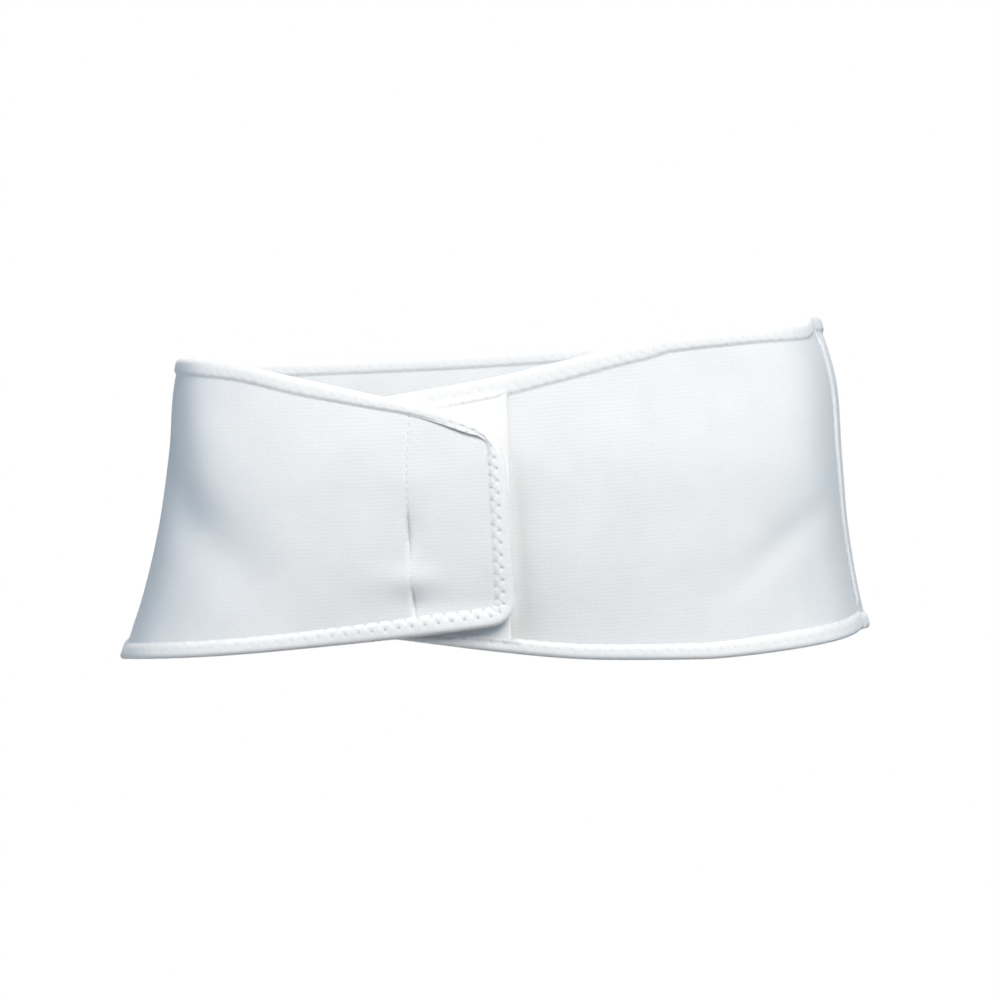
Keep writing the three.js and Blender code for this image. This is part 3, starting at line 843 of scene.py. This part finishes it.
class Tape:
    """A tape folded over an edge and held by a zigzag stitch, drawn along the edge and across its leaf."""

    LEAF = np.array([1, 0.985, 0.95, 0.88, 0.8, 0.72, 0.64, 0.56, 0.48, 0.4, 0.32, 0.24, 0.16, 0.08, 0])

    def __init__(self, run, lift):
        step = np.linalg.norm(np.diff(run[:, [AROUND, RISE]], axis=0), axis=1)
        keep = np.concatenate([[True], step > 1e-6])
        run = run[keep]
        marks = np.concatenate([[0], np.cumsum(step[keep[1:]])])
        self.run, self.marks, self.lift = run, marks, lift
        self.length = marks[-1]
        self.stitches = round(self.length / ZIGZAG_PITCH)
        self.pitch = self.length / self.stitches

    def read(self, along):
        return [np.interp(along, self.marks, column) for column in self.run.T]

    def relief(self, along, share, width):
        """Height of the stitched leaf above its plain face: drawn in along the zigzag, dented at needles."""
        phase = along / self.pitch % 1
        far = 1 - np.abs(2 * phase - 1)
        line = ZIGZAG_NEAR + (ZIGZAG_FAR - ZIGZAG_NEAR) * far
        height = -GROOVE_DEPTH * np.exp(-(((share - line) * width / GROOVE_REACH) ** 2))
        for at, row in ((0, ZIGZAG_NEAR), (1, ZIGZAG_NEAR), (0.5, ZIGZAG_FAR)):
            distance = np.hypot((phase - at) * self.pitch, (share - row) * width)
            height = height - NEEDLE_DEPTH * np.exp(-((distance / NEEDLE_RADIUS) ** 2))
        return height

    def leaf(self, along, share, side, height):
        """A point `height` above the underside of a leaf; side is 1 on the outer leaf, -1 on the inner."""
        around, rise, out_around, out_rise, width, _, stand = self.read(along)
        settled = (stand if side > 0 else LEAF_SETTLED) * smoothstep(share, SETTLES_FROM, 1)
        reach = share * (width + SCALLOP * np.cos(2 * math.pi * along / self.pitch))
        at, up = around - reach * out_around, rise - reach * out_rise
        return place(at, up, self.lift(at, up) + side * (PANEL_THICKNESS / 2 + GAP + settled + height))

    def face(self, along, share, side, above=0.0):
        """A point on a leaf's face, the given share of the way from the fold to the leaf's edge."""
        row = self.read(along)
        rim = smoothstep((1 - share) * row[WIDTH], 0, LEAF_RIM)
        thick = TAPE_THICKNESS * (RIM_LEFT + (1 - RIM_LEFT) * rim)
        crown = LEAF_CROWN * np.cos(math.pi / 2 * share)
        height = thick + crown + rim * row[FIRM] * self.relief(along, share, row[WIDTH])
        return self.leaf(along, share, side, height + above)

    def mesh(self, name):
        along = np.linspace(0, self.length, self.stitches * STATIONS_PER_STITCH + 1)[:, None]
        around, rise, out_around, out_rise, _, firm, _ = self.read(along)
        within = PANEL_THICKNESS / 2 + GAP

        def roll(radius):
            reach = radius * np.cos(FOLD_TURN)
            at, up = around + reach * out_around, rise + reach * out_rise
            return place(at, up, self.lift(at, up) + radius * np.sin(FOLD_TURN))

        outwards, inwards = self.LEAF, self.LEAF[::-1]
        ripple = RIPPLE * firm * np.cos(4 * math.pi * along / self.pitch)
        outer = [
            self.face(along, outwards, 1),
            roll(within + TAPE_THICKNESS + LEAF_CROWN + ripple),
            self.face(along, inwards, -1),
        ]
        hollow = within * np.clip(np.minimum(along, self.length - along) / FOLD_CLOSES, HOLLOW_LEFT, 1)
        inner = [
            self.leaf(along, outwards, 1, hollow - within),
            roll(hollow),
            self.leaf(along, inwards, -1, hollow - within),
        ]
        reach = FOLD_HALF + TAPE_WIDTH * outwards
        profile = np.concatenate([-reach, -within * FOLD_TURN, reach[::-1]])
        uv = np.stack(np.broadcast_arrays(along * ZIGZAG_PITCH / self.pitch, profile), axis=-1)
        outer, inner = (np.concatenate(rows, axis=1) for rows in (outer, inner))
        return loft(name, outer, inner, uv, tape, "edge_tape", firm)

    def threads(self, name):
        """The zigzag on both faces, one short thread from needle hole to needle hole."""
        ends = np.arange(2 * self.stitches) * self.pitch / 2
        q = np.linspace(0, 1, THREAD_POINTS)
        along = ends[:, None] + q * self.pitch / 2
        outbound = (np.arange(len(ends)) % 2 == 0)[:, None]
        share = ZIGZAG_NEAR + (ZIGZAG_FAR - ZIGZAG_NEAR) * np.where(outbound, q, 1 - q)
        above = THREAD_RADIUS * (THREAD_SHOWN * self.read(along)[FIRM] - 1)
        lines = [self.face(along, share, side, above) for side in (1, -1)]
        return tubes(name, np.concatenate(lines), THREAD_RADIUS, thread)


back_places = spaced(BACK_START - GAP / 2, BACK_END + GAP / 2, RUN_STEP)
tapes = {
    "overlap_binding": Tape(front_run(overlap_cut), overlap_lift),
    "under_binding": Tape(front_run(under_cut, LOOP_PATCH), under_lift),
    "back_top_binding": Tape(edge_run(back_cut, "top", back_places), pressed_back_lift),
    "back_bottom_binding": Tape(edge_run(back_cut, "bottom", back_places)[::-1], pressed_back_lift),
}
bindings = {name: made.mesh(name + "_tape") for name, made in tapes.items()}
zigzags = {name: made.threads(name + "_stitches") for name, made in tapes.items()}


# Straight stitching


def stitch_row(around_at, span, pitch, surface):
    """Lines of a row's stitches; around_at gives the row's place at a rise, surface the cloth's offset."""
    count = round((span[1] - span[0]) / pitch)
    starts = span[0] + np.arange(count) * (span[1] - span[0]) / count
    q = np.linspace(*STITCH_SPAN, THREAD_POINTS)
    rise = starts[:, None] + q * pitch
    around = around_at(rise)
    bow = THREAD_RADIUS * (STITCH_BOW * np.sin(math.pi * q) - STITCH_SINK)
    return place(around, rise, surface(around, rise) + bow)


def overlap_face(around, rise):
    face = overlap_lift(around, rise) + PANEL_THICKNESS / 2
    return face + overlap_relief(around, rise, face)


hook_span = (
    float(inside_tape(overlap_cut, "bottom", np.float64(HOOK_LINE))),
    float(inside_tape(overlap_cut, "top", np.float64(HOOK_LINE))),
)
hook_stitches = tubes(
    "hook_patch_stitches", stitch_row(hook_line, hook_span, HOOK_STITCH, overlap_face),
    THREAD_RADIUS, thread,
)


def lap_face(around, rise):
    return pressed_back_lift(around, rise) + PANEL_THICKNESS / 2 - THREAD_RADIUS


def lap_lining(around, rise):
    return np.full_like(around, -PANEL_THICKNESS / 2)


def seam_rows(seam, inward):
    """The rows of stitches that hold one lap, on its outer and inner faces."""
    lines = []
    for distance in SEAM_ROWS:
        around = seam + inward * distance
        span = tuple(float(inside_tape(back_cut, side, np.float64(around))) for side in ("bottom", "top"))
        for surface in (lap_face, lap_lining):
            lines.append(stitch_row(lambda rise: np.full_like(rise, around), span, SEAM_STITCH, surface))
    return np.concatenate(lines)


right_seam = tubes("right_seam_stitches", seam_rows(BACK_START, 1), THREAD_RADIUS, thread)
left_seam = tubes("left_seam_stitches", seam_rows(BACK_END, -1), THREAD_RADIUS, thread)


# What each piece stands for, and the flat cloth it is cut from

STANDS_FOR = {
    "overlap_panel": overlap_panel,
    "under_panel": under_panel,
    "back_panel": back_panel,
    "loop_patch": loop_patch,
    "hook_patch": hook_patch,
    **bindings,
}
for node, piece in STANDS_FOR.items():
    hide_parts(node)


def flat_cut(cut, start, stop):
    """Flat height, length and area of a panel, in metres."""
    around = spaced(start, stop, 1.0)
    height = cut.edge("top", around) - cut.edge("bottom", around)
    length = stop - start
    return MM * height.max(), MM * length, MM * MM * height.mean() * length


overlap_flat = flat_cut(overlap_cut, LEFT_SEAM - TONGUE, OVERLAP_END)
under_flat = flat_cut(under_cut, UNDER_END, RIGHT_SEAM + TONGUE)
back_flat = flat_cut(back_cut, BACK_START, BACK_END)
for patch_piece, cut, span, base in (
    (loop_patch, under_cut, LOOP_PATCH, under_panel),
    (hook_patch, overlap_cut, HOOK_PATCH, overlap_panel),
):
    places = spaced(*span, 1.0)
    height = inside_tape(cut, "top", places) - inside_tape(cut, "bottom", places)


# Studio: pale floor, soft lights, camera at the photograph's angle

FLOOR_DROP = 1.5
FLOOR_RADIUS = 2.0
CAMERA_ELEVATION = math.radians(3)
CAMERA_DISTANCE = 2.0
CAMERA_LENS = 148.8
AIM = Vector((-0.001, 0, -0.0068))


def pale_floor():
    bpy.ops.mesh.primitive_circle_add(
        vertices=96, radius=FLOOR_RADIUS, fill_type="NGON", location=(0, 0, -FLOOR_DROP)
    )
    floor = bpy.context.object
    floor.name = "floor"
    material = bpy.data.materials.new("pale_floor")
    material.use_nodes = True
    shader = material.node_tree.nodes["Principled BSDF"]
    shader.inputs["Base Color"].default_value = (0.9, 0.9, 0.9, 1)
    shader.inputs["Roughness"].default_value = 0.9
    floor.data.materials.append(material)


def soft_light(name, location, size, power, colour):
    light = bpy.data.lights.new(name, "AREA")
    light.shape = "RECTANGLE"
    light.size, light.size_y = size
    light.energy = power
    light.color = colour
    lamp = bpy.data.objects.new(name, light)
    lamp.location = location
    lamp.rotation_euler = (-Vector(location)).to_track_quat("-Z", "Y").to_euler()
    bpy.context.scene.collection.objects.link(lamp)


def white_surround(seen, given, tint):
    """A world that shows white behind the object and gives a weaker, tinted light."""
    world = bpy.data.worlds.new("studio")
    world.use_nodes = True
    tree = world.node_tree
    tree.nodes.clear()
    output = tree.nodes.new("ShaderNodeOutputWorld")
    blend = tree.nodes.new("ShaderNodeMixShader")
    tree.links.new(tree.nodes.new("ShaderNodeLightPath").outputs["Is Camera Ray"], blend.inputs[0])
    for socket, strength, colour in ((1, given, tint), (2, seen, (1, 1, 1))):
        background = tree.nodes.new("ShaderNodeBackground")
        background.inputs["Strength"].default_value = strength
        background.inputs["Color"].default_value = (*colour, 1)
        tree.links.new(background.outputs[0], blend.inputs[socket])
    tree.links.new(blend.outputs[0], output.inputs["Surface"])
    bpy.context.scene.world = world


pale_floor()
white_surround(seen=1.0, given=0.02, tint=(0.8, 0.9, 1))
soft_light("key", (0.65, -1.6, 1.4), (1.2, 1.0), 53, (1, 0.93, 0.865))
soft_light("left_fill", (-1.8, -1.0, 0.6), (1.2, 1.2), 22, (0.735, 0.875, 1))
soft_light("right_fill", (1.8, -1.0, 0.6), (1.2, 1.2), 9, (0.16, 0.62, 1))
soft_light("back", (0.2, 1.8, 1.4), (1.4, 1.0), 40, (1, 1, 1))

lens = bpy.data.cameras.new("camera")
lens.lens = CAMERA_LENS
lens.sensor_width = 36
camera = bpy.data.objects.new("camera", lens)
towards = Vector((0, math.cos(CAMERA_ELEVATION), -math.sin(CAMERA_ELEVATION)))
camera.location = AIM - CAMERA_DISTANCE * towards
camera.rotation_euler = towards.to_track_quat("-Z", "Y").to_euler()
bpy.context.scene.collection.objects.link(camera)
bpy.context.scene.camera = camera
bpy.context.scene.view_settings.view_transform = "Standard"
